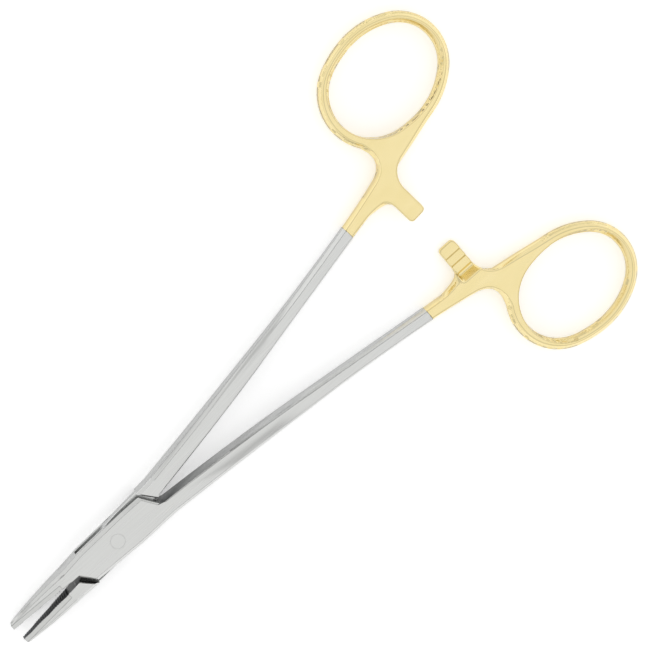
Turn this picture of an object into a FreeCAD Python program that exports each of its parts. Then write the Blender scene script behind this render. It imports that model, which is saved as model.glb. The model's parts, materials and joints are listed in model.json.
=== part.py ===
"""Six inch box-lock needle holder with carbide jaw inserts and ring handles, in millimetres.

The instrument lies flat. X runs from the jaws to the finger rings along the line between the two
halves, Y across and Z up. The origin is on the pivot axis, on the face that the box rests on.
"""

import FreeCAD, Part

import math
import os

import Sketcher

doc = FreeCAD.newDocument("needle_holder")

# Driving sizes: name, value, what it is. Lengths in millimetres, angles in degrees.
driving = [
    ("open_angle", 5.5, "angle between the halves as modelled"),
    ("jaw_length", 28.75, "pivot to the tip of the jaws"),
    ("jaw_root", 13.0, "pivot to where the jaw grows out of the box"),
    ("jaw_tip_width", 1.5, "one jaw across at the tip"),
    ("jaw_root_width", 3.05, "one jaw across at its root"),
    ("jaw_belly", 0.2, "how far the back of the jaw swells past a straight line"),
    ("jaw_tip_thickness", 1.9, "jaw through at the tip"),
    ("jaw_nose", 0.8, "rounding of the jaw's outer corner"),
    ("relief_length", 2.35, "hollow between the jaw's root and its carbide insert"),
    ("insert_thickness", 1.1, "carbide insert through"),
    ("insert_gap", 0.03, "each insert's face back from the closing line"),
    ("relief_depth", 0.1, "hollow of the jaw behind its insert"),
    ("tooth_pitch", 0.6, "serrations of the inserts apart"),
    ("tooth_depth", 0.18, "depth of the serrations"),
    ("box_thickness", 5.5, "box through"),
    ("box_front", 8.0, "pivot to where the side of the box turns towards the jaw"),
    ("box_front_width", 3.65, "closing line to the side of the box, there and at the wall's end"),
    ("box_back", 4.0, "pivot to where the side of the box turns towards the shank"),
    ("box_back_width", 4.1, "closing line to the side of the box, there and at the wall's end"),
    ("edge_bevel", 0.75, "bevel along the box and the jaws"),
    ("front_slope", 37.0, "slope of the end of the box walls that faces a jaw"),
    ("front_reach", 8.95, "pivot to that end, square to it"),
    ("back_slope", 32.0, "slope of the end of the box walls that faces a shank"),
    ("back_reach", 10.1, "pivot to that end, square to it"),
    ("shoulder_gap", 0.4, "box wall to the shoulder that it faces"),
    ("shoulder_bevel", 0.35, "bevel along the shoulders"),
    ("web_thickness", 1.8, "web that passes through the box"),
    ("web_clearance", 0.05, "slot wider than the web on each side"),
    ("web_radius", 9.1, "round ends of the web about the pivot"),
    ("web_end_clearance", 0.12, "slot ends past the round ends of the web"),
    ("closing_clearance", 0.06, "each half back from the closing line inside the box"),
    ("pin_diameter", 3.2, "pivot pin"),
    ("pin_clearance", 0.03, "web bore wider than the pin, on the radius"),
    ("shank_root", 13.0, "pivot to the start of the shank"),
    ("shank_neck", 86.0, "pivot to the neck, where the ring end starts"),
    ("shank_root_offset", 2.12, "middle of the shank from the closing line, at its root"),
    ("shank_neck_offset", 9.45, "middle of the shank from the closing line, at the neck"),
    ("shank_bow", 0.66, "inward bow of the shank"),
    ("shank_root_width", 3.6, "shank across at its root"),
    ("shank_neck_width", 3.5, "shank across at the neck"),
    ("shank_waist", 0.55, "how much narrower the shank is on its way to the neck"),
    ("neck_thickness", 3.8, "shank, neck and ratchet arm through at the ring end"),
    ("neck_bevel", 0.6, "bevel of shank and neck across, at the neck"),
    ("neck_bevel_drop", 1.25, "bevel of neck and finger ring through"),
    ("inner_bevel", 0.15, "bevel of the shank's inner side at its root"),
    ("ring_reach", 22.93, "neck to the middle of the finger ring, along"),
    ("ring_rise", 16.04, "neck to the middle of the finger ring, across"),
    ("ring_turn", 2.75, "long axis of the finger ring turned outwards"),
    ("ring_opening_length", 26.04, "opening of the finger ring, along"),
    ("ring_opening_width", 20.24, "opening of the finger ring, across"),
    ("ring_near_round", 0.959, "end of the ring by the neck: its radius over half the ring's width"),
    ("ring_far_round", 0.871, "far end of the ring: its radius over half the ring's width"),
    ("ring_band", 2.5, "band of the finger ring across"),
    ("ring_crest", 0.3, "flat top of the band across"),
    ("ring_fade", 0.45, "middle of the band to the inner edge of the neck's flat where that runs out"),
    ("flat_lean", 43.0, "direction in which the neck's flat is widest on the ring, from the long axis"),
    ("arm_reach", 5.3, "neck to the near side of the ratchet arm"),
    ("arm_width", 4.3, "ratchet arm along the instrument"),
    ("arm_gap", 0.1, "tip of the ratchet arm back from the closing line"),
    ("arm_bevel", 0.22, "bevel around the ratchet arm"),
    ("arm_inner_fillet", 3.2, "fillet between the shank and the ratchet arm"),
    ("arm_outer_fillet", 5.0, "fillet between the ratchet arm and the ring"),
    ("arm_nose", 0.9, "rounded corners of the ratchet arm"),
    ("arm_lap", 0.2, "neck to where the plate of the arm starts inside it"),
    ("arm_root_rise", 0.8, "rise of the plate's inner side from there to the arm"),
    ("arm_root_depth", 0.9, "plate across where it starts"),
    ("heel_rise", 1.95, "neck's crest line to the corner between arm and ring, across"),
    ("heel_length", 6.0, "that corner to the end of the plate inside the ring"),
    ("heel_slope", 2.15, "rise of the plate's side from that corner to its end"),
    ("heel_depth", 1.35, "plate across at that corner"),
    ("heel_end_depth", 0.5, "plate across at its end"),
    ("ratchet_first", 2.5, "closing line to the first ratchet tooth"),
    ("ratchet_pitch", 2.0, "ratchet teeth apart"),
    ("ratchet_crest", 0.28, "ratchet crests past the middle plane"),
    ("ratchet_depth", 0.62, "ratchet teeth deep"),
    ("ratchet_lead", 0.35, "tip of the arm lower than the foot of the teeth"),
    ("ratchet_root", 8.8, "closing line to the top of the step at the root of the arm"),
    ("ratchet_ramp", 1.6, "run of that step"),
    ("ratchet_back", 0.12, "run of the steep side of a ratchet tooth"),
]

# Sizes that follow from them: name, formula, what it is.
derived = [
    ("insert_back", "jaw_root + relief_length", "pivot to the back of the inserts"),
    ("arm_start", "shank_neck + arm_reach", "pivot to the near side of the ratchet arm"),
    ("arm_end", "arm_start + arm_width", "pivot to the far side of the ratchet arm"),
    ("neck_inner", "shank_neck_offset - shank_neck_width / 2", "closing line to the neck's inner side"),
    ("neck_outer", "shank_neck_offset + shank_neck_width / 2", "closing line to the neck's outer side"),
    ("shank_inner", "shank_root_offset - shank_root_width / 2", "closing line to the root's inner side"),
    ("shank_outer", "shank_root_offset + shank_root_width / 2", "closing line to the root's outer side"),
    ("front_cross", "(front_reach + shoulder_gap) / cos(front_slope)",
     "pivot to the shoulder of the jaw, along the closing line"),
    ("back_cross", "(back_reach + shoulder_gap) / cos(back_slope)",
     "pivot to the shoulder of the shank, along the closing line"),
    ("front_lean", "(box_front_width - jaw_root_width) / (jaw_root - box_front)", "slope of the jaw's back there"),
    ("back_lean", "(box_back_width - shank_outer) / (shank_root - box_back)", "slope of the shank's side there"),
    ("front_side", "(jaw_root_width + front_lean * (jaw_root - front_cross)) / (1 - front_lean * tan(front_slope))",
     "closing line to the outer corner of the jaw's shoulder"),
    ("back_side", "(shank_outer + back_lean * (shank_root - back_cross)) / (1 - back_lean * tan(back_slope))",
     "closing line to the outer corner of the shank's shoulder"),
    ("ring_x", "shank_neck + ring_reach", "pivot to the middle of the finger ring"),
    ("ring_y", "shank_neck_offset + ring_rise", "closing line to the middle of the finger ring"),
    ("ring_a", "(ring_opening_length + ring_band) / 2", "half the middle line of the band, along"),
    ("ring_b", "(ring_opening_width + ring_band) / 2", "half the middle line of the band, across"),
    ("near_radius", "ring_b * ring_near_round", "radius of the near end"),
    ("far_radius", "ring_b * ring_far_round", "radius of the far end"),
    ("near_side", "((ring_a - near_radius)^2 + ring_b^2 - near_radius^2) / (2 * (ring_b - near_radius))",
     "radius of the sides towards the neck"),
    ("far_side", "((ring_a - far_radius)^2 + ring_b^2 - far_radius^2) / (2 * (ring_b - far_radius))",
     "radius of the sides towards the far end"),
    ("near_turn", "atan((near_side - ring_b) / (ring_a - near_radius))", "half the arc of the near end"),
    ("far_turn", "atan((far_side - ring_b) / (ring_a - far_radius))", "half the arc of the far end"),
]

sizes = doc.addObject("Spreadsheet::Sheet", "sizes")
for row, (alias, content, meaning) in enumerate(driving + derived, start=1):
    sizes.set(f"A{row}", meaning)
    sizes.set(f"B{row}", f"={content}")
    sizes.setAlias(f"B{row}", alias)
doc.recompute()
aliases = {alias for alias, content, meaning in driving + derived}


def size(alias):
    """A driving size as a number."""
    return float(sizes.get(alias))


def terms(formula):
    """The formula with each driving size written as a cell of the sheet."""
    words = []
    word = ""
    for letter in formula + " ":
        if letter.isalnum() or letter in "_.":
            word += letter
            continue
        words.append("sizes." + word if word in aliases else word)
        words.append(letter)
        word = ""
    return "".join(words).strip()


def bind(thing, path, formula):
    thing.setExpression(path, terms(formula))


def make_body(name):
    return doc.addObject("PartDesign::Body", name)


def draw_polygon(sketch, corners):
    """Straight lines through corners, each a pair of formulas."""
    count = len(corners)
    turn = 2 * math.pi / count
    starts = [FreeCAD.Vector(math.cos(turn * i), math.sin(turn * i), 0) for i in range(count)]
    for i in range(count):
        sketch.addGeometry(Part.LineSegment(starts[i], starts[(i + 1) % count]))
    for i in range(count):
        sketch.addConstraint(Sketcher.Constraint("Coincident", i, 2, (i + 1) % count, 1))
    for i, (across, up) in enumerate(corners):
        for kind, start, formula in (("DistanceX", starts[i].x, across), ("DistanceY", starts[i].y, up)):
            number = sketch.addConstraint(Sketcher.Constraint(kind, -1, 1, i, 1, start))
            bind(sketch, f"Constraints[{number}]", formula)


def attach(body, name, role, offset=None):
    """An empty sketch on one of the body's own planes."""
    sketch = body.newObject("Sketcher::SketchObject", name)
    plane = next(item for item in body.Origin.OriginFeatures if item.Role == role)
    sketch.AttachmentSupport = [(plane, "")]
    sketch.MapMode = "FlatFace"
    if offset:
        bind(sketch, "AttachmentOffset.Base.z", offset)
    return sketch


def polygon(body, name, role, corners, offset=None):
    sketch = attach(body, name, role, offset)
    draw_polygon(sketch, corners)
    return sketch


def pad(body, name, sketch, length, both_ways=True):
    feature = body.newObject("PartDesign::Pad", name)
    feature.Profile = sketch
    feature.Midplane = both_ways
    bind(feature, "Length", length)
    return feature


def loft(body, name, sections):
    feature = body.newObject("PartDesign::AdditiveLoft", name)
    feature.Profile = sections[0]
    feature.Sections = sections[1:]
    feature.Refine = False
    return feature


def round_edges(body, kind, name, base, property_name, formula, wanted):
    """A fillet or chamfer of the base's edges that the test picks."""
    doc.recompute()
    chosen = [f"Edge{i}" for i, edge in enumerate(base.Shape.Edges, start=1) if wanted(edge)]
    feature = body.newObject(kind, name)
    feature.Base = (base, chosen)
    bind(feature, property_name, formula)
    return feature


def is_upright(edge):
    box = edge.BoundBox
    return box.XLength < 0.01 and box.YLength < 0.01


def flat_at(edge, height):
    box = edge.BoundBox
    return box.ZLength < 0.01 and abs(abs(box.ZMin) - height) < 0.01


def boolean(kind, name, base, tools):
    """A cut, fusion or intersection of solids."""
    if kind == "Part::MultiFuse":
        result = doc.addObject(kind, name)
        result.Shapes = [base] + tools
        return result
    result = doc.addObject(kind, name)
    result.Base = base
    result.Tool = tools[0]
    return result


def block(name, low, high):
    """A box between two corners, each three formulas."""
    result = doc.addObject("Part::Box", name)
    for path, start, end in zip(("Length", "Width", "Height"), low, high):
        bind(result, path, f"({end}) - ({start})")
    for axis, start in zip("xyz", low):
        bind(result, f"Placement.Base.{axis}", start)
    return result


def cylinder(name, radius, height):
    """An upright cylinder on the pivot, half above and half below the middle plane."""
    result = doc.addObject("Part::Cylinder", name)
    bind(result, "Radius", radius)
    bind(result, "Height", height)
    bind(result, "Placement.Base.z", f"-({height}) / 2")
    return result


far = 60.0  # reach of a cutting block, past anything that it cuts


def jaw_corners(side, along):
    """Section of a jaw at a share of the way from its root to its tip: flat grip, bevelled back."""
    width = (f"(jaw_root_width + (jaw_tip_width - jaw_root_width) * {along}"
             f" + 4 * jaw_belly * {along} * (1 - {along}))")
    half = f"(box_thickness + (jaw_tip_thickness - box_thickness) * {along}) / 2"
    bevel = f"edge_bevel * (1 - 0.4 * {along})"
    back = f"{-side} * {width}"
    flat = f"{-side} * ({width} - {bevel})"
    return [("0", half), (flat, half), (back, f"{half} - {bevel}"),
            (back, f"-({half} - {bevel})"), (flat, f"-({half})"), ("0", f"-({half})")]


def make_jaw(name, side):
    """One jaw from the box to its tip, with its full grip face on the closing line."""
    body = make_body(name)
    sections = []
    for number, along in enumerate((0.0, 0.25, 0.5, 0.75, 1.0)):
        place = f"-(jaw_root + (jaw_length - jaw_root) * {along})"
        corners = jaw_corners(side, along)
        sections.append(polygon(body, f"{name}_section_{number}", "YZ_Plane", corners, place))
    solid = loft(body, f"{name}_loft", sections)
    tip = -size("jaw_length")

    def outer_corner(edge):
        box = edge.BoundBox
        return is_upright(edge) and abs(box.XMin - tip) < 0.01 and abs(box.YMin) > 0.2

    nose = round_edges(body, "PartDesign::Fillet", f"{name}_nose", solid, "Radius", "jaw_nose", outer_corner)
    body.Tip = nose
    return body


def shank_middle(along):
    return (f"(shank_root_offset + (shank_neck_offset - shank_root_offset) * {along}"
            f" - 4 * shank_bow * {along} * (1 - {along}))")


# Shares of the shank's waist, evenly along it.
waist_plan = [0.0, 0.0, 0.0, 0.1, 0.5, 0.95, 1.0, 0.8, 0.0]


def make_shank(name, side):
    """The shank from the box to the neck: eight-cornered, its inner side nearly square at the box."""
    body = make_body(name)
    sections = []
    for number, share in enumerate(waist_plan):
        along = number / (len(waist_plan) - 1)
        width = (f"(shank_root_width + (shank_neck_width - shank_root_width) * {along}"
                 f" - shank_waist * {share})")
        half = f"(box_thickness + (neck_thickness - box_thickness) * {along}) / 2"
        outer = f"({shank_middle(along)} + {width} / 2)"
        inner = f"({shank_middle(along)} - {width} / 2)"
        outer_bevel = f"(edge_bevel + (neck_bevel - edge_bevel) * {along})"
        outer_drop = f"(edge_bevel + (neck_bevel_drop - edge_bevel) * {along})"
        near_bevel = f"(inner_bevel + (neck_bevel - inner_bevel) * {along})"
        near_drop = f"(inner_bevel + (neck_bevel_drop - inner_bevel) * {along})"
        upper = [(inner, f"{half} - {near_drop}"), (f"{inner} + {near_bevel}", half),
                 (f"{outer} - {outer_bevel}", half), (outer, f"{half} - {outer_drop}")]
        corners = upper + [(across, f"-({up})") for across, up in reversed(upper)]
        corners = [(f"{side} * ({across})", up) for across, up in corners]
        place = f"shank_root + (shank_neck - shank_root) * {along}"
        sections.append(polygon(body, f"{name}_section_{number}", "YZ_Plane", corners, place))
    body.Tip = loft(body, f"{name}_loft", sections)
    return body


def place_on_ring(item, side, shift="0"):
    """Puts what is drawn about the middle of the finger ring in its place, shifted towards the neck."""
    bind(item, "Placement.Base.x", f"ring_x - ({shift}) * cos(flat_lean)")
    bind(item, "Placement.Base.y", f"{side} * (ring_y - ({shift}) * sin(flat_lean))")
    bind(item, "Placement.Rotation.Angle", f"{side} * ring_turn")


def make_ring(name, side):
    """The finger ring: an oval of six tangent arcs, bevelled on both sides of its crest."""
    flat, edge = "ring_crest / 2", "ring_band / 2"
    top, foot = "neck_thickness / 2", "(neck_thickness / 2 - neck_bevel_drop)"
    section = [(flat, top), (edge, foot), (edge, f"-{foot}"), (flat, f"-({top})"),
               (f"-({flat})", f"-({top})"), (f"-({edge})", f"-{foot}"), (f"-({edge})", foot), (f"-({flat})", top)]
    lengthwise = FreeCAD.Rotation(FreeCAD.Vector(1, 0, 0), 90)
    crosswise = FreeCAD.Rotation(FreeCAD.Vector(0, 1, 0), FreeCAD.Vector(0, 0, 1), FreeCAD.Vector(1, 0, 0))
    starts = {}
    for end, turn, axis, position in (("far", lengthwise, "x", "ring_a"), ("near", lengthwise, "x", "-ring_a"),
                                      ("out", crosswise, "y", "ring_b"), ("in", crosswise, "y", "-ring_b")):
        sketch = doc.addObject("Sketcher::SketchObject", f"{name}_{end}_section")
        draw_polygon(sketch, section)
        sketch.Placement.Rotation = turn
        bind(sketch, f"Placement.Base.{axis}", position)
        starts[end] = sketch
    arcs = [
        ("far_end", "far", "ring_a - far_radius", "0", "2 * far_turn"),
        ("near_end", "near", "near_radius - ring_a", "0", "2 * near_turn"),
        ("far_out", "out", "0", "ring_b - far_side", "far_turn - 90 deg"),
        ("near_out", "out", "0", "ring_b - near_side", "90 deg - near_turn"),
        ("far_in", "in", "0", "far_side - ring_b", "90 deg - far_turn"),
        ("near_in", "in", "0", "near_side - ring_b", "near_turn - 90 deg"),
    ]
    turned = []
    for arc, start, middle_x, middle_y, angle in arcs:
        part = doc.addObject("Part::Revolution", f"{name}_{arc}")
        part.Source = starts[start]
        part.Axis = FreeCAD.Vector(0, 0, 1)
        part.Solid = True
        part.Symmetric = start in ("far", "near")
        bind(part, "Base.x", middle_x)
        bind(part, "Base.y", middle_y)
        bind(part, "Angle", angle)
        turned.append(part)
    ring = boolean("Part::MultiFuse", name, turned[0], turned[1:])
    place_on_ring(ring, side)
    return ring


def make_oval(name, side, offset, shift):
    """An upright prism on the ring's oval, that much outside the band's middle line."""
    arcs = [
        ("ring_a - far_radius", "0", "far_radius", "-far_turn"),
        ("0", "ring_b - far_side", "far_side", "far_turn"),
        ("0", "ring_b - near_side", "near_side", "90 deg"),
        ("near_radius - ring_a", "0", "near_radius", "180 deg - near_turn"),
        ("0", "near_side - ring_b", "near_side", "180 deg + near_turn"),
        ("0", "far_side - ring_b", "far_side", "270 deg"),
    ]
    body = make_body(name)
    sketch = attach(body, f"{name}_outline", "XY_Plane")
    far_turn, near_turn = size("far_turn"), size("near_turn")
    turns = [-far_turn, far_turn, 90, 180 - near_turn, 180 + near_turn, 270, 360 - far_turn]
    near_x, far_x = size("near_radius") - size("ring_a"), size("ring_a") - size("far_radius")
    near_y, far_y = size("near_side") - size("ring_b"), size("far_side") - size("ring_b")
    middles = [(far_x, 0), (0, -far_y), (0, -near_y), (near_x, 0), (0, near_y), (0, far_y)]
    for (x, y), (_, _, radius, _), start, end in zip(middles, arcs, turns, turns[1:]):
        circle = Part.Circle(FreeCAD.Vector(x, y, 0), FreeCAD.Vector(0, 0, 1), size(radius))
        sketch.addGeometry(Part.ArcOfCircle(circle, math.radians(start), math.radians(end)))
    for i in range(len(arcs)):
        sketch.addConstraint(Sketcher.Constraint("Coincident", i, 2, (i + 1) % len(arcs), 1))
    for i, (x, y, radius, angle) in enumerate(arcs):
        full = f"({radius} + ({offset}))"
        start = sketch.Geometry[i].StartPoint
        for kind, begun, formula in (("DistanceX", start.x, f"{x} + {full} * cos({angle})"),
                                     ("DistanceY", start.y, f"{y} + {full} * sin({angle})")):
            number = sketch.addConstraint(Sketcher.Constraint(kind, -1, 1, i, 1, begun))
            bind(sketch, f"Constraints[{number}]", formula)
        number = sketch.addConstraint(Sketcher.Constraint("Radius", i, size(radius)))
        bind(sketch, f"Constraints[{number}]", full)
    body.Tip = pad(body, f"{name}_prism", sketch, "neck_thickness")
    place_on_ring(body, side, shift)
    return body


# Plan of the neck as shares of the way from the neck to the middle of the ring: the foot of its bevel
# and, above it, the crest line.
neck_plan = [
    (0.0654, -0.1222, 0.0829, -0.0736),
    (0.1396, -0.1415, 0.1439, -0.0842),
    (0.1936, -0.1708, 0.1832, -0.0904),
    (0.2290, -0.2213, 0.2137, -0.0779),
    (0.2355, -0.0524, 0.2355, -0.0150),
    (0.4143, 0.0474, 0.4012, 0.0910),
    (0.5233, 0.0817, 0.5146, 0.1284),
    (0.7981, 0.1471, 0.7893, 0.2063),
    (0.9943, 0.2001, 0.9856, 0.2656),
    (1.1339, 0.2325, 1.1251, 0.2999),
    (1.0030, 1.0000, 1.0030, 1.0000),
    (0.3620, 0.7519, 0.4099, 0.7581),
    (0.3969, 0.5960, 0.4448, 0.6085),
    (0.4187, 0.4713, 0.4579, 0.4713),
    (0.4165, 0.3778, 0.4448, 0.3653),
    (0.3925, 0.2968, 0.4099, 0.2656),
    (0.3489, 0.2344, 0.3620, 0.2001),
    (0.2835, 0.1908, 0.2900, 0.1534),
    (0.1744, 0.1565, 0.1788, 0.1191),
]


def make_neck(name, side):
    """The flat where shank and ring meet, which runs out along the crest of the ring."""
    body = make_body(name)
    foot = [("shank_neck", "neck_inner")]
    crest = [("shank_neck", "neck_inner + neck_bevel")]
    for foot_x, foot_y, crest_x, crest_y in neck_plan:
        foot.append((f"shank_neck + {foot_x} * ring_reach", f"shank_neck_offset + {foot_y} * ring_rise"))
        crest.append((f"shank_neck + {crest_x} * ring_reach", f"shank_neck_offset + {crest_y} * ring_rise"))
    foot.append(("shank_neck", "neck_outer"))
    crest.append(("shank_neck", "neck_outer - neck_bevel"))
    top, level = "neck_thickness / 2", "(neck_thickness / 2 - neck_bevel_drop)"
    sections = []
    levels = ((crest, f"-{top}"), (foot, f"-{level}"), (foot, level), (crest, top))
    for number, (outline, height) in enumerate(levels):
        corners = [(x, f"{side} * ({y})") for x, y in outline]
        sections.append(polygon(body, f"{name}_level_{number}", "XY_Plane", corners, height))
    solid = loft(body, f"{name}_loft", sections)
    solid.Ruled = True
    body.Tip = solid
    crown = make_oval(f"{name}_crown", side, "ring_crest / 2", "0")
    inside = make_oval(f"{name}_inside", side, "-ring_fade", "ring_fade - ring_band / 2")
    plate = boolean("Part::MultiFuse", f"{name}_plate", body, [crown])
    return boolean("Part::Cut", f"{name}_trimmed", plate, [inside])


def make_arm(name, side):
    """Ratchet arm. The two arms pass each other as the instrument closes, teeth facing."""
    body = make_body(name)
    buried = "(neck_inner + neck_bevel)"
    outline = [
        ("shank_neck + arm_lap", buried),
        ("arm_start", f"{buried} + arm_root_rise"),
        ("arm_start", "arm_gap"),
        ("arm_end", "arm_gap"),
        ("arm_end", f"{buried} + heel_rise"),
        ("arm_end + heel_length", f"{buried} + heel_rise + heel_slope"),
        ("arm_end + heel_length", f"{buried} + heel_rise + heel_slope + heel_end_depth"),
        ("arm_end", f"{buried} + heel_rise + heel_depth"),
        ("shank_neck + arm_lap", f"{buried} + arm_root_depth"),
    ]
    sketch = polygon(body, f"{name}_outline", "XY_Plane", [(x, f"{side} * ({y})") for x, y in outline])
    plate = pad(body, f"{name}_plate", sketch, "neck_thickness")
    start, end = size("arm_start"), size("arm_end")
    half = size("neck_thickness") / 2

    def at(edge, x, low, high):
        box = edge.BoundBox
        return is_upright(edge) and abs(box.XMin - x) < 0.01 and low < side * box.YMin < high

    def on_rim(edge):
        box = edge.BoundBox
        return flat_at(edge, half) and min(abs(box.YMin), abs(box.YMax)) < 8

    crook = round_edges(body, "PartDesign::Fillet", f"{name}_crook", plate, "Radius", "arm_inner_fillet",
                        lambda edge: at(edge, start, 2, 12))
    heel = round_edges(body, "PartDesign::Fillet", f"{name}_heel", crook, "Radius", "arm_outer_fillet",
                       lambda edge: at(edge, end, 2, 11))
    nose = round_edges(body, "PartDesign::Fillet", f"{name}_nose", heel, "Radius", "arm_nose",
                       lambda edge: at(edge, start, -1, 1) or at(edge, end, -1, 1))
    round_edges(body, "PartDesign::Chamfer", f"{name}_bevel", nose, "Size", "arm_bevel", on_rim)

    # Profile across the arm: the teeth slope up from the tip and drop square towards the root.
    valley = "(ratchet_crest - ratchet_depth)"
    teeth = [("arm_gap - 1", f"{valley} - ratchet_lead * 1.2"), ("arm_gap", f"{valley} - ratchet_lead")]
    for number in range(3):
        top = f"(ratchet_first + {number} * ratchet_pitch)"
        teeth.append((top, "ratchet_crest"))
        teeth.append((f"{top} + ratchet_back", valley))
    teeth += [("ratchet_root - ratchet_ramp", valley), ("ratchet_root", "neck_thickness / 2"),
              ("ratchet_root", "neck_thickness"),
              ("arm_gap - 1", "neck_thickness")]
    notch = polygon(body, f"{name}_teeth", "YZ_Plane",
                    [(f"{side} * ({y})", f"{-side} * ({z})") for y, z in teeth])
    pocket = body.newObject("PartDesign::Pocket", f"{name}_ratchet")
    pocket.Profile = notch
    pocket.Type = 1
    pocket.Midplane = True
    body.Tip = pocket
    return body


def make_prism(name, corners, thickness, bevels=()):
    """An outline in plan made solid about the middle plane. Each bevel: its size and the test for its edges."""
    body = make_body(name)
    sketch = polygon(body, f"{name}_outline", "XY_Plane", corners)
    shape = pad(body, f"{name}_plate", sketch, thickness)
    for formula, wanted in bevels:
        shape = round_edges(body, "PartDesign::Chamfer", f"{name}_{formula}", shape, "Size", formula, wanted)
    body.Tip = shape
    return body


def around_pivot(name, side, radius, back, height):
    """A disc about the pivot, with a strap towards this half's jaw and one towards its shank."""
    low, high = f"-({height}) / 2", f"({height}) / 2"
    disc = cylinder(f"{name}_disc", radius, height)
    if side > 0:
        jaw = (f"-{far}", f"-{far}", low), ("0", f"-({back})", high)
        shank = ("0", f"{back}", low), (f"{far}", f"{far}", high)
    else:
        jaw = (f"-{far}", f"{back}", low), ("0", f"{far}", high)
        shank = ("0", f"-{far}", low), (f"{far}", f"-({back})", high)
    straps = [block(f"{name}_jaw_strap", *jaw), block(f"{name}_shank_strap", *shank)]
    return boolean("Part::MultiFuse", name, disc, straps)


female = -1
male = 1


def shoulder_line(end, reach, across):
    """Where the end of a box wall, that far from the pivot, crosses this offset from the closing line."""
    return f"(({reach}) / cos({end}_slope) - ({across}) * tan({end}_slope))"


def flip(corners, side):
    return [(x, f"{side} * ({y})") for x, y in corners]


def half_outline(gap, closing):
    """Plan of a whole half between jaw and shank, its free side as long as the box walls and this gap."""
    front, back = f"front_reach + {gap}", f"back_reach + {gap}"
    return [
        ("-jaw_root", "-jaw_root_width"),
        ("-box_front", "-box_front_width"),
        ("box_back", "-box_back_width"),
        (shoulder_line("back", back, "box_back_width"), "-box_back_width"),
        (shoulder_line("back", back, "0"), closing),
        ("shank_root", "shank_inner"),
        ("shank_root", "shank_outer"),
        ("box_back", "box_back_width"),
        (f"-{shoulder_line('front', front, 'box_front_width')}", "box_front_width"),
        (f"-{shoulder_line('front', front, '0')}", f"-({closing})"),
        ("-jaw_root", f"-({closing})"),
    ]


top = size("box_thickness") / 2
root_x = size("jaw_root")
shank_x = size("shank_root")
side_y = 2.0  # every side of the box lies further out than this, every inner edge less far


def side_rim(edge):
    box = edge.BoundBox
    outside = max(abs(box.YMin), abs(box.YMax)) > side_y
    return flat_at(edge, top) and outside and box.XLength > 2 * box.YLength


def shoulder_rim(edge):
    box = edge.BoundBox
    beyond = box.XMax < -root_x + 0.01 or box.XMin > shank_x - 0.01
    return flat_at(edge, top) and not beyond and box.YLength > box.XLength


rims = (("edge_bevel", side_rim), ("shoulder_bevel", shoulder_rim))
box_prism = make_prism("box_prism", flip(half_outline("0", "0"), female), "box_thickness", rims)
slot_tool = around_pivot("slot_tool", male, "web_radius + web_end_clearance", "0 - closing_clearance",
                         "web_thickness + 2 * web_clearance")
box_slotted = boolean("Part::Cut", "box_slotted", box_prism, [slot_tool])

web_outline = half_outline("shoulder_gap", "closing_clearance")
web_prism = make_prism("web_prism", flip(web_outline, male), "web_thickness")
web_round = around_pivot("web_round", male, "web_radius", "closing_clearance", "box_thickness")
web = boolean("Part::Common", "web", web_prism, [web_round])

# The shoulders of the male half, which face the ends of the box walls.
jaw_shoulder = [
    ("-jaw_root", "-jaw_root_width"),
    (f"-{shoulder_line('front', 'front_reach + shoulder_gap', 'front_side')}", "-front_side"),
    (f"-{shoulder_line('front', 'front_reach + shoulder_gap', 'closing_clearance')}", "-closing_clearance"),
    ("-jaw_root", "-closing_clearance"),
]
shank_shoulder = [
    ("shank_root", "shank_inner"),
    ("shank_root", "shank_outer"),
    (shoulder_line("back", "back_reach + shoulder_gap", "back_side"), "back_side"),
    (shoulder_line("back", "back_reach + shoulder_gap", "closing_clearance"), "closing_clearance"),
]
jaw_root_block = make_prism("jaw_root_block", flip(jaw_shoulder, male), "box_thickness", rims)
shank_root_block = make_prism("shank_root_block", flip(shank_shoulder, male), "box_thickness", rims)
doc.recompute()


def make_insert(name, jaw, side):
    """Carbide insert of one jaw: its share of the jaw, with crossed grooves in its face."""
    body = make_body(f"{name}_plate")
    outline = [("-jaw_length - 1", "insert_gap"), ("-insert_back", "insert_gap"),
               ("-insert_back", "insert_thickness"), ("-jaw_length - 1", "insert_thickness")]
    sketch = polygon(body, f"{name}_outline", "XY_Plane", flip(outline, -side))
    shape = pad(body, f"{name}_blank", sketch, "box_thickness")
    groove = "(tooth_pitch * 0.6)"  # half the groove where it leaves the face, with some to spare
    rows = (("across", "XY_Plane", "X_Axis", "-jaw_length + tooth_pitch / 2",
             "floor((jaw_length - insert_back) / tooth_pitch)"),
            ("along", "YZ_Plane", "Z_Axis", "-floor(box_thickness / tooth_pitch / 2) * tooth_pitch",
             "2 * floor(box_thickness / tooth_pitch / 2) + 1"))
    for kind, plane, axis, first, count in rows:
        deep = f"{-side} * (insert_gap + tooth_depth)"
        clear = f"{-side} * (insert_gap - tooth_depth * 0.35)"
        if plane == "XY_Plane":
            corners = [(f"{first} - {groove}", clear), (first, deep), (f"{first} + {groove}", clear)]
        else:
            corners = [(clear, f"{first} - {groove}"), (deep, first), (clear, f"{first} + {groove}")]
        mark = polygon(body, f"{name}_{kind}", plane, corners)
        cut = body.newObject("PartDesign::Pocket", f"{name}_{kind}_groove")
        cut.Profile = mark
        cut.Type = 1
        cut.Midplane = True
        doc.recompute()
        row = body.newObject("PartDesign::LinearPattern", f"{name}_{kind}_row")
        row.Originals = [cut]
        line = next(item for item in body.Origin.OriginFeatures if item.Role == axis)
        row.Direction = (line, [""])
        row.Mode = "Spacing"
        bind(row, "Offset", "tooth_pitch")
        bind(row, "Occurrences", count)
        body.Tip = row
        doc.recompute()
    return boolean("Part::Common", name, jaw, [body])


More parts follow.
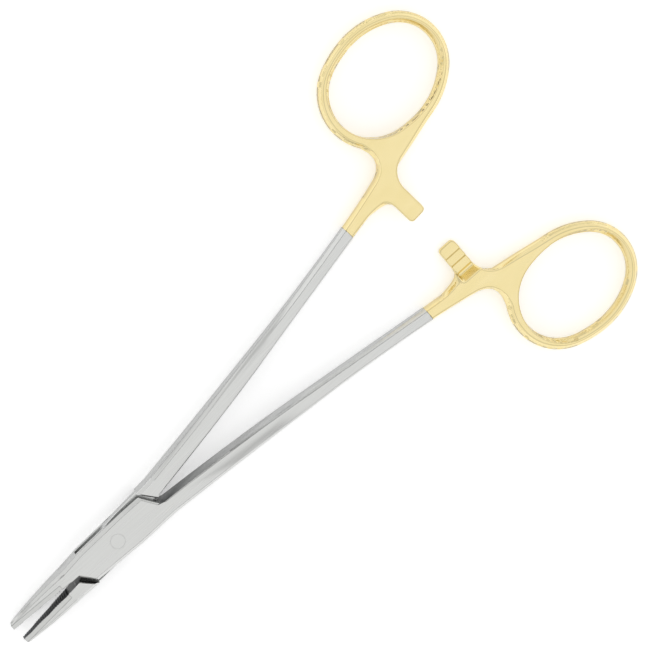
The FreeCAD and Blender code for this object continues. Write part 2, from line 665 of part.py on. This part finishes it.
def make_half(name, side, middle_pieces, bore):
    """One forging: jaw, its share of the box, shank, ratchet arm and finger ring."""
    jaw = make_jaw(f"{name}_jaw", side)
    seat_y = ("0 - 1", "insert_thickness") if side < 0 else ("-insert_thickness", "1")
    relief_y = ("0 - 1", "relief_depth") if side < 0 else ("-relief_depth", "1")
    seat = block(f"{name}_seat", (f"-{far}", seat_y[0], "-box_thickness"),
                 ("-insert_back", seat_y[1], "box_thickness"))
    relief = block(f"{name}_relief", ("-insert_back - 0.5", relief_y[0], "-box_thickness"),
                   ("-jaw_root", relief_y[1], "box_thickness"))
    cutter = boolean("Part::MultiFuse", f"{name}_jaw_cutter", seat, [relief])
    steel_jaw = boolean("Part::Cut", f"{name}_steel_jaw", jaw, [cutter])
    shank = make_shank(f"{name}_shank", side)
    ring = make_ring(f"{name}_ring", side)
    neck = make_neck(f"{name}_neck", side)
    arm = make_arm(f"{name}_arm", side)
    whole = boolean("Part::MultiFuse", f"{name}_whole", steel_jaw, middle_pieces + [shank, neck, arm, ring])
    drill = cylinder(f"{name}_drill", bore, "box_thickness + 2")
    half = boolean("Part::Cut", name, whole, [drill])
    insert = make_insert(f"{name}_insert", jaw, side)
    return half, insert


box_half, box_insert = make_half("box_half", female, [box_slotted], "pin_diameter / 2")
web_half, web_insert = make_half("web_half", male, [web, jaw_root_block, shank_root_block],
                                 "pin_diameter / 2 + pin_clearance")
pivot_pin = cylinder("pivot_pin", "pin_diameter / 2", "box_thickness")

for item, side in ((box_half, female), (box_insert, female), (web_half, male), (web_insert, male)):
    bind(item, "Placement.Base.z", "box_thickness / 2")
    bind(item, "Placement.Rotation.Angle", f"{side} * open_angle / 2")
bind(pivot_pin, "Placement.Base.z", "0")
doc.recompute()

for item in doc.Objects:
    if "Invalid" in item.State or "Error" in item.State:
        raise RuntimeError(f"{item.Label} failed: {item.State}")

pieces = [box_half, web_half, pivot_pin, box_insert, web_insert]
for piece in pieces:
    if piece.Shape.isNull() or not piece.Shape.isValid() or len(piece.Shape.Solids) != 1:
        raise RuntimeError(f"{piece.Label} is not one valid solid: {len(piece.Shape.Solids)}")

os.makedirs("parts", exist_ok=True)
for piece in pieces:
    piece.Shape.exportStep(f"parts/{piece.Label}.step")
    print(piece.Label, round(piece.Shape.Volume, 2), piece.Shape.optimalBoundingBox(True, False))
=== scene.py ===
import json
import math

import bpy
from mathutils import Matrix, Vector

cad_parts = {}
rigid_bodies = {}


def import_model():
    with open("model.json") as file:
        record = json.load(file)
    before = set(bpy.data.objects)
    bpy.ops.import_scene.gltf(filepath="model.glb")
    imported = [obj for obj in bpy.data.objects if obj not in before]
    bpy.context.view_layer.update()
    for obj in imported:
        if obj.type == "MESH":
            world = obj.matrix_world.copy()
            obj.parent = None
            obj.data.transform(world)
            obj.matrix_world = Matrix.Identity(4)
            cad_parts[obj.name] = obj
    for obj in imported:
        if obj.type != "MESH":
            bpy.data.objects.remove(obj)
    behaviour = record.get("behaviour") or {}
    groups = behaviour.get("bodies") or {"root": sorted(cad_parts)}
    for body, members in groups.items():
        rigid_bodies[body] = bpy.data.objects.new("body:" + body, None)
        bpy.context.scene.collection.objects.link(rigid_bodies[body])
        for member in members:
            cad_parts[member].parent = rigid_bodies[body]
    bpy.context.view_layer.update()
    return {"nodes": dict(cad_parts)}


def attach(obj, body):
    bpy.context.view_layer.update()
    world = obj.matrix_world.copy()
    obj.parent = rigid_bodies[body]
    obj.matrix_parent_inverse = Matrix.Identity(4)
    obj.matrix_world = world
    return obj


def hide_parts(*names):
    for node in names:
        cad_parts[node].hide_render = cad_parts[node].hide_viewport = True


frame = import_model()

mm = 0.001
mergeReach = 0.002 * mm


def deselectAll():
    for item in bpy.context.view_layer.objects:
        item.select_set(False)


def makeActive(item):
    deselectAll()
    item.select_set(True)
    bpy.context.view_layer.objects.active = item


def editMesh(item, *steps):
    # runs edit mode operators on the whole mesh, all of it selected before each
    makeActive(item)
    bpy.ops.object.mode_set(mode="EDIT")
    for step in steps:
        bpy.ops.mesh.select_all(action="SELECT")
        step()
    bpy.ops.object.mode_set(mode="OBJECT")


def mergedCopy(node, name):
    # a CAD node's mesh is loose triangles, so its copy has its doubles merged
    piece = frame["nodes"][node].copy()
    piece.data = frame["nodes"][node].data.copy()
    piece.name = name
    piece.data.name = name
    piece.parent = None
    bpy.context.scene.collection.objects.link(piece)
    for key in list(piece.keys()):
        del piece[key]
    editMesh(piece, lambda: bpy.ops.mesh.remove_doubles(threshold=mergeReach))
    return piece


print("camera")
cameraSettings = {
    "place": (0.05147348, 0.15345944, 0.53120515),
    "turn": (-10.820452, -11.980033, -42.99),  # degrees
    "sensor": 36,
    "lens": 143.7785,
    "clip": (0.01, 20),
}
deselectAll()
bpy.ops.object.camera_add(location=cameraSettings["place"],
                          rotation=[math.radians(a) for a in cameraSettings["turn"]])
camera = bpy.context.object
camera.data.sensor_width = cameraSettings["sensor"]
camera.data.lens = cameraSettings["lens"]
camera.data.clip_start, camera.data.clip_end = cameraSettings["clip"]
bpy.context.scene.camera = camera
bpy.context.scene.view_settings.view_transform = "Standard"

print("floor")
floorSettings = {
    "side": 6,
    "height": -0.02 * mm,
    "colour": (0.9, 0.9, 0.9, 1),
    "lift": 0.36,  # how much whiter the floor looks to the camera and in reflections
}
bpy.ops.mesh.primitive_plane_add(size=floorSettings["side"], location=(0, 0, floorSettings["height"]))
floor = bpy.context.object
floor.name = "floor"
paper = bpy.data.materials.new("paper")
paper.use_nodes = True
paperShader = paper.node_tree.nodes["Principled BSDF"]
paperShader.inputs["Base Color"].default_value = floorSettings["colour"]
paperShader.inputs["Roughness"].default_value = 1.0
paperShader.inputs["Specular IOR Level"].default_value = 0.0
paperTree = paper.node_tree
rays = paperTree.nodes.new("ShaderNodeLightPath")
glow = paperTree.nodes.new("ShaderNodeEmission")
both = paperTree.nodes.new("ShaderNodeAddShader")
seen = paperTree.nodes.new("ShaderNodeMath")
seen.operation = "MAXIMUM"
seenAll = paperTree.nodes.new("ShaderNodeMath")
seenAll.operation = "MAXIMUM"
lift = paperTree.nodes.new("ShaderNodeMath")
lift.operation = "MULTIPLY"
lift.inputs[1].default_value = floorSettings["lift"]
paperTree.links.new(rays.outputs["Is Camera Ray"], seen.inputs[0])
paperTree.links.new(rays.outputs["Is Glossy Ray"], seen.inputs[1])
paperTree.links.new(seen.outputs[0], seenAll.inputs[0])
paperTree.links.new(rays.outputs["Is Transmission Ray"], seenAll.inputs[1])
paperTree.links.new(seenAll.outputs[0], lift.inputs[0])
paperTree.links.new(lift.outputs[0], glow.inputs["Strength"])
paperTree.links.new(paperShader.outputs[0], both.inputs[0])
paperTree.links.new(glow.outputs[0], both.inputs[1])
paperTree.links.new(both.outputs[0], paperTree.nodes["Material Output"].inputs["Surface"])
floor.data.materials.append(paper)

print("light")
lightSettings = {
    # height on the dome, 0 at the horizon and 1 overhead, and its brightness
    "dome": ((0.0, 0.92), (0.30, 1.00), (0.50, 0.66), (0.66, 0.62), (0.84, 1.00)),
}
world = bpy.data.worlds.new("studio")
bpy.context.scene.world = world
world.use_nodes = True
tree = world.node_tree
coords = tree.nodes.new("ShaderNodeTexCoord")
split = tree.nodes.new("ShaderNodeSeparateXYZ")
ramp = tree.nodes.new("ShaderNodeValToRGB")
tree.links.new(coords.outputs["Generated"], split.inputs[0])
tree.links.new(split.outputs["Z"], ramp.inputs[0])
tree.links.new(ramp.outputs[0], tree.nodes["Background"].inputs["Color"])
while len(ramp.color_ramp.elements) < len(lightSettings["dome"]):
    ramp.color_ramp.elements.new(0.5)
for element, (height, level) in zip(ramp.color_ramp.elements, lightSettings["dome"]):
    element.position = height
    element.color = (level, level, level, 1)

print("finishes")
noiseSpan = (0.3, 0.7)  # where nearly all of a noise texture's values lie


def startMaterial(name, colour):
    material = bpy.data.materials.new(name)
    material.use_nodes = True
    shader = material.node_tree.nodes["Principled BSDF"]
    shader.inputs["Metallic"].default_value = 1
    shader.inputs["Base Color"].default_value = (*colour, 1)
    return material, shader


def placeOf(material, kind, axis):
    # one axis of the Object coordinates or of the Normal
    tree = material.node_tree
    coords = tree.nodes.new("ShaderNodeTexCoord")
    split = tree.nodes.new("ShaderNodeSeparateXYZ")
    tree.links.new(coords.outputs[kind], split.inputs[0])
    return split.outputs[axis]


def noiseAlong(material, turn, scale, detail):
    # noise on Object coordinates, drawn out along the piece
    tree = material.node_tree
    coords = tree.nodes.new("ShaderNodeTexCoord")
    swing = tree.nodes.new("ShaderNodeMapping")
    swing.inputs["Rotation"].default_value = (0, 0, -math.radians(turn))
    stretch = tree.nodes.new("ShaderNodeMapping")
    stretch.inputs["Scale"].default_value = scale
    noise = tree.nodes.new("ShaderNodeTexNoise")
    noise.inputs["Scale"].default_value = 1.0
    noise.inputs["Detail"].default_value = detail
    tree.links.new(coords.outputs["Object"], swing.inputs[0])
    tree.links.new(swing.outputs[0], stretch.inputs[0])
    tree.links.new(stretch.outputs[0], noise.inputs["Vector"])
    return noise.outputs["Fac"]


def remap(material, source, low, high, socket):
    # carries noise over to a range from low to high
    tree = material.node_tree
    span = tree.nodes.new("ShaderNodeMapRange")
    span.inputs["From Min"].default_value, span.inputs["From Max"].default_value = noiseSpan
    span.inputs["To Min"].default_value = low
    span.inputs["To Max"].default_value = high
    tree.links.new(source, span.inputs["Value"])
    tree.links.new(span.outputs[0], socket)


def blendColour(material, amount, low, high, socket=None):
    # low where the amount is 0, high where it is 1, each a colour or another node's output
    tree = material.node_tree
    mix = tree.nodes.new("ShaderNodeMix")
    mix.data_type = "RGBA"
    tree.links.new(amount, mix.inputs[0])
    for place, colour in ((6, low), (7, high)):
        if isinstance(colour, tuple):
            mix.inputs[place].default_value = (*colour, 1)
        else:
            tree.links.new(colour, mix.inputs[place])
    if socket:
        tree.links.new(mix.outputs[2], socket)
    return mix.outputs[2]


def spanOf(material, source, start, end):
    # 0 at the start, 1 at the end
    span = material.node_tree.nodes.new("ShaderNodeMapRange")
    span.inputs["From Min"].default_value = start
    span.inputs["From Max"].default_value = end
    material.node_tree.links.new(source, span.inputs["Value"])
    return span.outputs[0]


def upwardness(material):
    # 1 on faces that look up or down, 0 on upright sides
    upward = material.node_tree.nodes.new("ShaderNodeMath")
    upward.operation = "ABSOLUTE"
    material.node_tree.links.new(placeOf(material, "Normal", "Z"), upward.inputs[0])
    return upward.outputs[0]


def edgeNormal(material, radius):
    # the surface normal, turned gently over every edge
    edge = material.node_tree.nodes.new("ShaderNodeBevel")
    edge.samples = 8
    edge.inputs["Radius"].default_value = radius
    return edge.outputs[0]


def awayFromEdges(material, rounded, span):
    # 1 on open faces, 0 along the edges
    tree = material.node_tree
    surface = tree.nodes.new("ShaderNodeNewGeometry")
    likeness = tree.nodes.new("ShaderNodeVectorMath")
    likeness.operation = "DOT_PRODUCT"
    tree.links.new(rounded, likeness.inputs[0])
    tree.links.new(surface.outputs["Normal"], likeness.inputs[1])
    return spanOf(material, likeness.outputs["Value"], *span)


def scratch(material, height, rounded, strength, distance, socket):
    # fine relief on top of the rounded normal
    tree = material.node_tree
    bump = tree.nodes.new("ShaderNodeBump")
    bump.inputs["Strength"].default_value = strength
    bump.inputs["Distance"].default_value = distance
    tree.links.new(height, bump.inputs["Height"])
    tree.links.new(rounded, bump.inputs["Normal"])
    tree.links.new(bump.outputs[0], socket)


steelSettings = {
    "colour": (0.67, 0.675, 0.66),  # what the tones below vary around
    "dark": (0.640, 0.645, 0.630),
    "light": (0.70, 0.705, 0.69),
    # painted shade: upright sides darker than the open faces
    "side": (0.50, 0.505, 0.50),
    "paintedSideShadeSpan": (0.12, 0.5),  # upwardness at which the painted side shade ends and the open tone is reached
    "shade": (0.10, 0.105, 0.105),  # upright walls deep in the box and beside it
    "shadeSpan": (13 * mm, 38 * mm),  # from the pivot, where that shade starts to fade and is gone
    "turnSpan": 1 * mm,  # over which the shaded walls begin
    # painted shade: the dark line along every edge
    "paintedEdgeShade": (0.17, 0.175, 0.17),
    "edgeSpan": (0.93, 0.993),  # likeness to the rounded normal, from the edge to the open face
    "edge": 0.20 * mm,
    "rimBlend": 0.1 * mm,
    "roughness": (0.26, 0.34),
    "streaks": (60, 4200, 4200),
    "streakDetail": 5,
    "scratchStrength": 0.2,
    "scratchDepth": 0.004 * mm,
}
goldSettings = {
    "colour": (0.90, 0.76, 0.40),
    "dark": (0.885, 0.745, 0.38),
    "light": (0.915, 0.775, 0.42),
    # painted shade: upright sides of the gold darker
    "side": (0.70, 0.57, 0.28),
    "paintedSideShadeSpan": (0.1, 0.45),
    # painted dark line along the crests and edges, standing in for shade and dark reflections
    "paintedEdgeShade": (0.66, 0.54, 0.26),
    "edgeSpan": (0.955, 0.992),
    "edge": 0.35 * mm,
    "roughness": (0.12, 0.18),
    "haze": (150, 500, 500),
    "hazeDetail": 3,
}
carbideSettings = {
    "dark": (0.05, 0.052, 0.055),
    "light": (0.13, 0.135, 0.14),
    "ground": (0.66, 0.665, 0.65),  # the faces ground flush with the jaw
    "groundSpan": (0.75, 0.9),
    "roughness": (0.35, 0.5),
    "grain": (1800, 1800, 1800),
    "grainDetail": 6,
}


def pivotDistance(material):
    # how far a point is from the pivot's axis, seen from above
    tree = material.node_tree
    coords = tree.nodes.new("ShaderNodeTexCoord")
    flat = tree.nodes.new("ShaderNodeVectorMath")
    flat.operation = "MULTIPLY"
    flat.inputs[1].default_value = (1, 1, 0)
    reach = tree.nodes.new("ShaderNodeVectorMath")
    reach.operation = "LENGTH"
    tree.links.new(coords.outputs["Object"], flat.inputs[0])
    tree.links.new(flat.outputs[0], reach.inputs[0])
    return reach.outputs["Value"]


def shadedWalls(material, side):
    # 1 on the walls that the other half keeps in shade, 0 on the rest: on side -1 those from
    # the pivot to the jaw's tip, on side 1 those that look towards the other half
    along = placeOf(material, "Object", "X")
    if side < 0:
        return spanOf(material, along, 0, -steelSettings["turnSpan"])
    facing = material.node_tree.nodes.new("ShaderNodeMath")
    facing.operation = "MULTIPLY"
    material.node_tree.links.new(along, facing.inputs[0])
    material.node_tree.links.new(placeOf(material, "Normal", "Y"), facing.inputs[1])
    return spanOf(material, facing.outputs[0], 0, steelSettings["turnSpan"])


def brushedSteel(name, turn, side=1, rimReach=3 * mm, paintedRimHighlight=None):
    # paintedRimHighlight is the painted highlight on the edges within rimReach of the pivot, None where
    # they don't show
    material, shader = startMaterial(name, steelSettings["colour"])
    streaks = noiseAlong(material, turn, steelSettings["streaks"], steelSettings["streakDetail"])
    distance = pivotDistance(material)
    steel = blendColour(material, spanOf(material, streaks, *noiseSpan),
                        steelSettings["dark"], steelSettings["light"])
    # painted shade on the upright walls: darkest near the pivot on the walls the other half shades, the
    # painted side shade elsewhere
    wall = blendColour(material, spanOf(material, distance, *steelSettings["shadeSpan"]),
                       steelSettings["shade"], steelSettings["side"])
    wall = blendColour(material, shadedWalls(material, side), steelSettings["side"], wall)
    # upright sides get the painted shade, open faces the steel's own streaked tone
    tone = blendColour(material, spanOf(material, upwardness(material), *steelSettings["paintedSideShadeSpan"]),
                       wall, steel)
    # painted edge line: dark along the edges as painted shade; near the pivot the painted highlight where
    # one is given, else the steel's own tone
    edge = blendColour(material, spanOf(material, distance, rimReach, rimReach + steelSettings["rimBlend"]),
                       paintedRimHighlight or steel, steelSettings["paintedEdgeShade"])
    rounded = edgeNormal(material, steelSettings["edge"])
    blendColour(material, awayFromEdges(material, rounded, steelSettings["edgeSpan"]),
                edge, tone, shader.inputs["Base Color"])
    remap(material, streaks, *steelSettings["roughness"], shader.inputs["Roughness"])
    scratch(material, streaks, rounded, steelSettings["scratchStrength"], steelSettings["scratchDepth"],
            shader.inputs["Normal"])
    return material


def platedGold(name, turn):
    material, shader = startMaterial(name, goldSettings["colour"])
    haze = noiseAlong(material, turn, goldSettings["haze"], goldSettings["hazeDetail"])
    tone = blendColour(material, spanOf(material, haze, *noiseSpan),
                       goldSettings["dark"], goldSettings["light"])
    # painted shade on the upright sides
    tone = blendColour(material, spanOf(material, upwardness(material), *goldSettings["paintedSideShadeSpan"]),
                       goldSettings["side"], tone)
    rounded = edgeNormal(material, goldSettings["edge"])
    # painted dark line along the edges and crests
    blendColour(material, awayFromEdges(material, rounded, goldSettings["edgeSpan"]),
                goldSettings["paintedEdgeShade"], tone, shader.inputs["Base Color"])
    remap(material, haze, *goldSettings["roughness"], shader.inputs["Roughness"])
    return material


def dullCarbide(name, turn):
    material, shader = startMaterial(name, carbideSettings["dark"])
    grain = noiseAlong(material, turn, carbideSettings["grain"], carbideSettings["grainDetail"])
    tone = blendColour(material, spanOf(material, grain, *noiseSpan),
                       carbideSettings["dark"], carbideSettings["light"])
    blendColour(material, spanOf(material, upwardness(material), *carbideSettings["groundSpan"]),
                tone, carbideSettings["ground"], shader.inputs["Base Color"])
    remap(material, grain, *carbideSettings["roughness"], shader.inputs["Roughness"])
    return material


print("halves")
halfSettings = {
    # turn is how the half lies, in degrees, plating how far from the pivot the gold starts,
    # and side says which walls lie in shade
    "box_half": {"body": "box_side", "turn": -2.75, "plating": 81.1 * mm, "slot": "steel_box_half",
                 "side": 1, "rimReach": 2.6 * mm, "paintedRimHighlight": None},
    # the web half's edges near the pivot carry a painted highlight
    "web_half": {"body": "web_side", "turn": 2.75, "plating": 80.5 * mm, "slot": "steel_web_half",
                 "side": -1, "rimReach": 15 * mm, "paintedRimHighlight": (0.95, 0.955, 0.95)},
}
shankSettings = {
    "flat": math.radians(0.6),  # triangles that lie this flat become one face
    "smooth": math.radians(22),
}
ringEnd = {
    "margin": 4 * mm,  # how far below the plating line the polished form starts
    "voxel": 0.15 * mm,
    "polish": 40,  # rounds of smoothing, which soften the crests
    "strength": 0.5,
}


def cutAcross(item, along, distance, keepRing):
    editMesh(item, lambda: bpy.ops.mesh.bisect(plane_co=along * distance, plane_no=along, use_fill=True,
                                               clear_inner=keepRing, clear_outer=not keepRing))


def polish(item, strength, rounds):
    makeActive(item)
    smoothing = item.modifiers.new("polish", "SMOOTH")
    smoothing.factor = strength
    smoothing.iterations = rounds
    bpy.ops.object.modifier_apply(modifier=smoothing.name)


def setFinish(item, material):
    item.data.materials.clear()
    item.data.materials.append(material)


for node, settings in halfSettings.items():
    turn = math.radians(settings["turn"])
    along = Vector((math.cos(turn), math.sin(turn), 0))
    shank = mergedCopy(node, node + "_dressed")
    cutAcross(shank, along, settings["plating"], False)
    editMesh(shank, lambda: bpy.ops.mesh.dissolve_limited(angle_limit=shankSettings["flat"]))
    makeActive(shank)
    bpy.ops.object.shade_smooth_by_angle(angle=shankSettings["smooth"])
    setFinish(shank, brushedSteel(shank.name + "_finish", settings["turn"], settings["side"],
                                  settings["rimReach"], settings["paintedRimHighlight"]))
    ring = mergedCopy(node, node + "_ring_end")
    cutAcross(ring, along, settings["plating"] - ringEnd["margin"], True)
    ring.data.remesh_voxel_size = ringEnd["voxel"]
    makeActive(ring)
    bpy.ops.object.voxel_remesh()
    polish(ring, ringEnd["strength"], ringEnd["polish"])
    cutAcross(ring, along, settings["plating"], True)
    makeActive(ring)
    bpy.ops.object.shade_smooth()
    setFinish(ring, platedGold(ring.name + "_finish", settings["turn"]))
    print(node, len(shank.data.polygons), len(ring.data.polygons))
    makeActive(shank)
    ring.select_set(True)
    bpy.ops.object.join()
    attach(shank, settings["body"])
    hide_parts(node)

print("pin and inserts")
for node, finish, half in (("pivot_pin", brushedSteel, "box_half"),
                           ("box_half_insert", dullCarbide, "box_half"),
                           ("web_half_insert", dullCarbide, "web_half")):
    setFinish(frame["nodes"][node], finish(node + "_finish", halfSettings[half]["turn"]))
